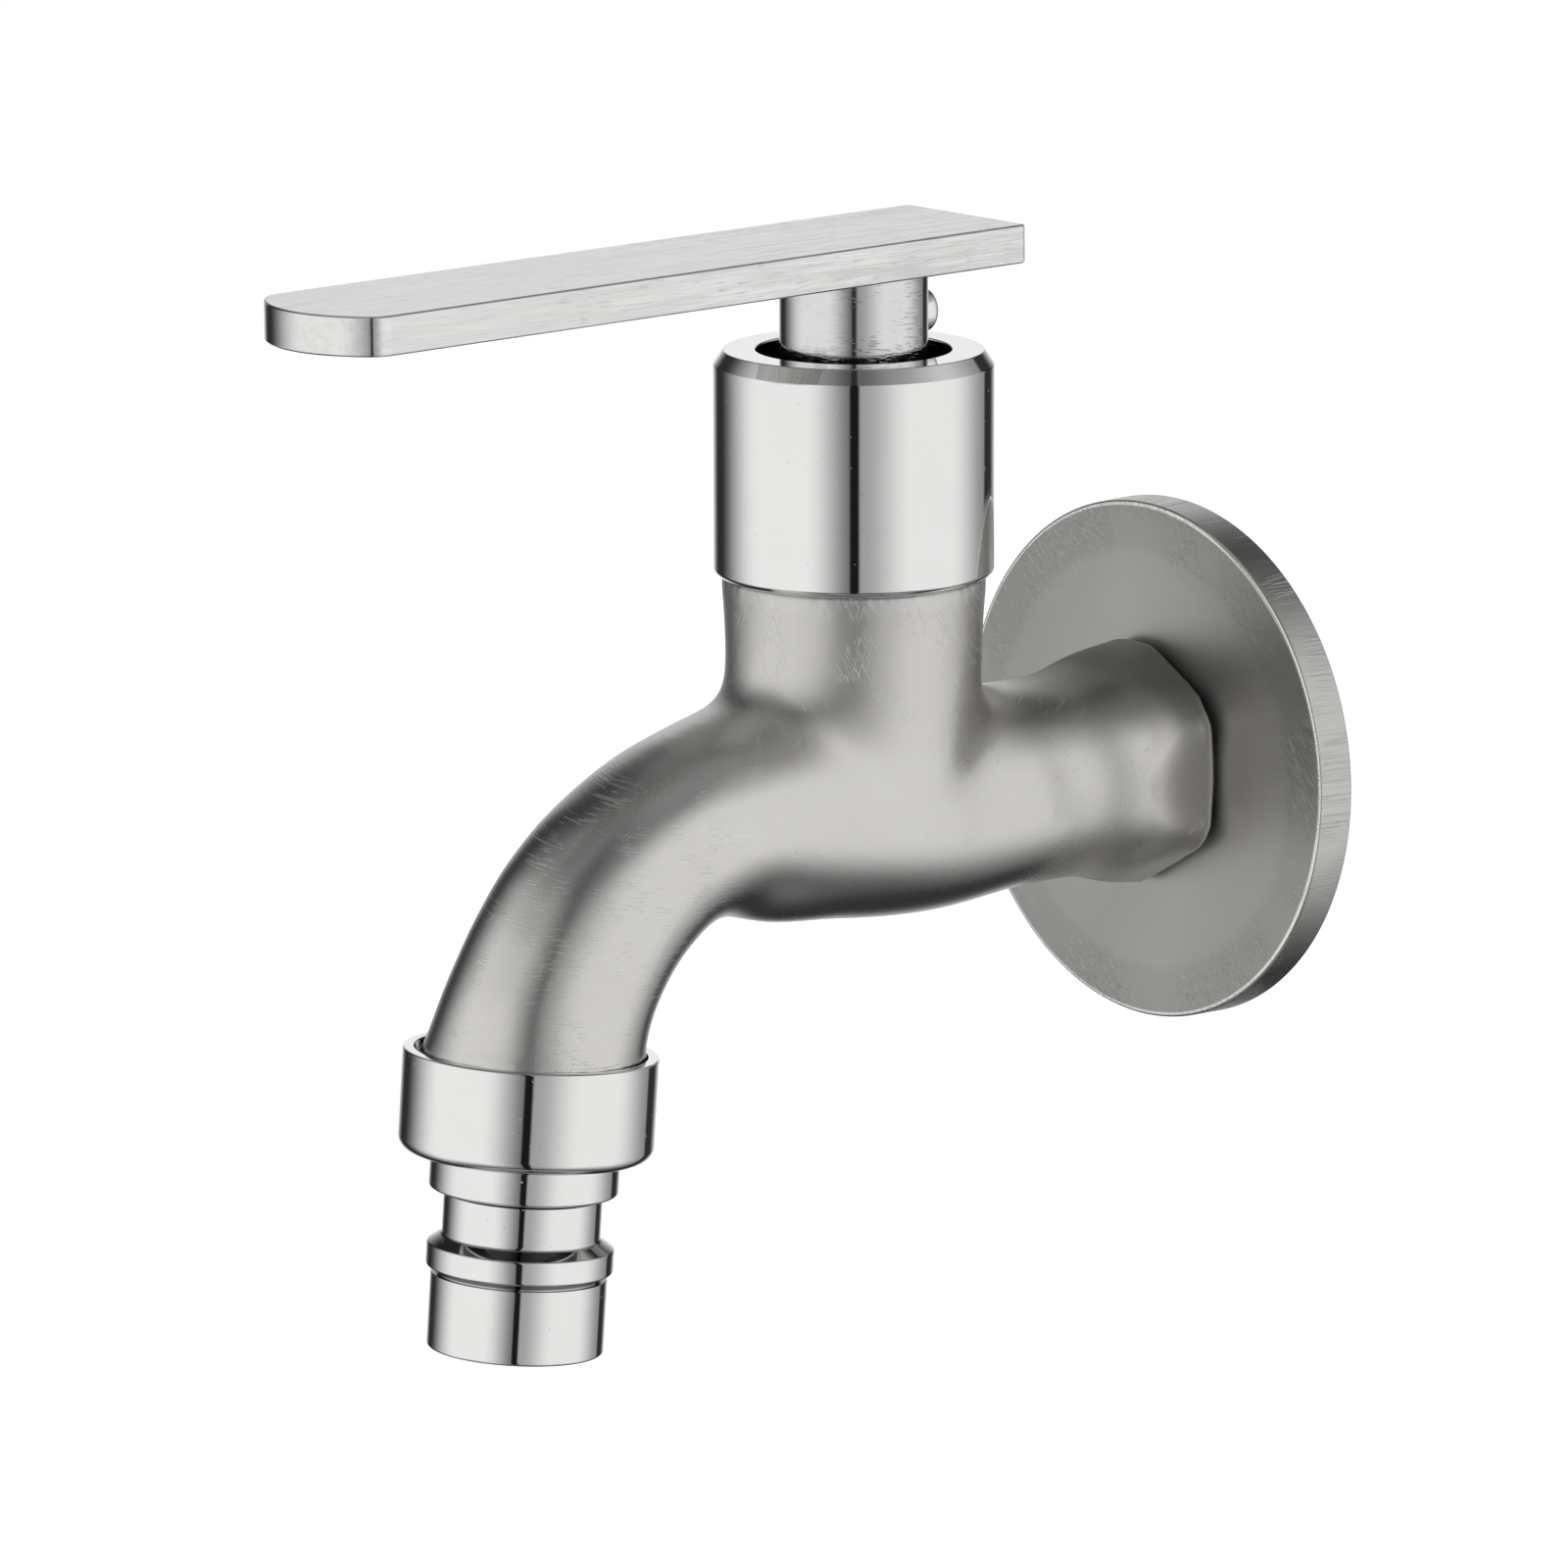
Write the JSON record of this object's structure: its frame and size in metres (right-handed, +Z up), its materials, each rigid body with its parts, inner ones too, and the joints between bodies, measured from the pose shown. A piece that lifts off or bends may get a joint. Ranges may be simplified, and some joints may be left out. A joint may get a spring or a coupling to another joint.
{
  "type": "washing machine tap",
  "caption": "Wall tap for a washing machine in satin stainless steel: curved spout, flat lever, polished cover, union nut, stepped hose nozzle and round wall flange.",
  "frame": {"origin": "centre of the wall face, where the inlet axis meets the wall", "axes": "+Y along the inlet axis into the wall, -Y out of the wall towards the user, +Z up along the valve axis, X to the sides"},
  "size_m": [0.0566, 0.1341, 0.1132],
  "materials": {
    "cast_satin": "satin cast stainless steel, lightly brushed",
    "flange_satin": "satin stainless sheet with fine turning marks",
    "polished": "polished stainless steel, turned",
    "lever_brushed": "stainless steel brushed along its length",
    "post_brushed": "stainless steel brushed round the axis",
    "brass": "turned brass",
    "spring_steel": "spring steel, plain",
    "ceramic_white": "lapped alumina ceramic, opaque",
    "plastic_white": "plain acetal",
    "rubber_black": "black seal rubber"
  },
  "bodies": {
    "tap": {"tap_body": "cast_satin", "wall_flange": "flange_satin", "bonnet": "brass", "bonnet_gasket": "rubber_black", "seat_seal": "rubber_black", "seal_support_ring": "plastic_white", "fixed_disc": "ceramic_white", "slide_washer": "plastic_white", "top_washer": "plastic_white", "bonnet_cover": "polished"},
    "handle": {"lever_bar": "lever_brushed", "lever_post": "post_brushed", "handle_screw": "polished", "spindle": "brass", "spindle_orings": "rubber_black", "spindle_circlip": "spring_steel", "moving_disc": "ceramic_white"},
    "hose_nozzle": {"nozzle": "polished", "nozzle_gasket": "rubber_black"},
    "union_nut": {"union_nut": "polished"}
  },
  "joints": [
    {"name": "handle_turn", "type": "hinge", "parent": "tap", "child": "handle", "pos_m": [0, -0.0456, 0], "axis": [0, 0, 1], "range_deg": [0, 90]},
    {"name": "nozzle_drop", "type": "slide", "parent": "tap", "child": "hose_nozzle", "axis": [0, -0.0785, -0.9969], "range_m": [0, 0.00544]},
    {"name": "nut_turn", "type": "hinge", "parent": "hose_nozzle", "child": "union_nut", "pos_m": [0, -0.0896, -0.0191], "axis": [0, -0.0785, -0.9969], "range_deg": [0, 1080]}
  ],
  "couplings": [
    {"joint": "nut_turn", "follows": "nozzle_drop", "rad_per_m": 3463.7}
  ]
}
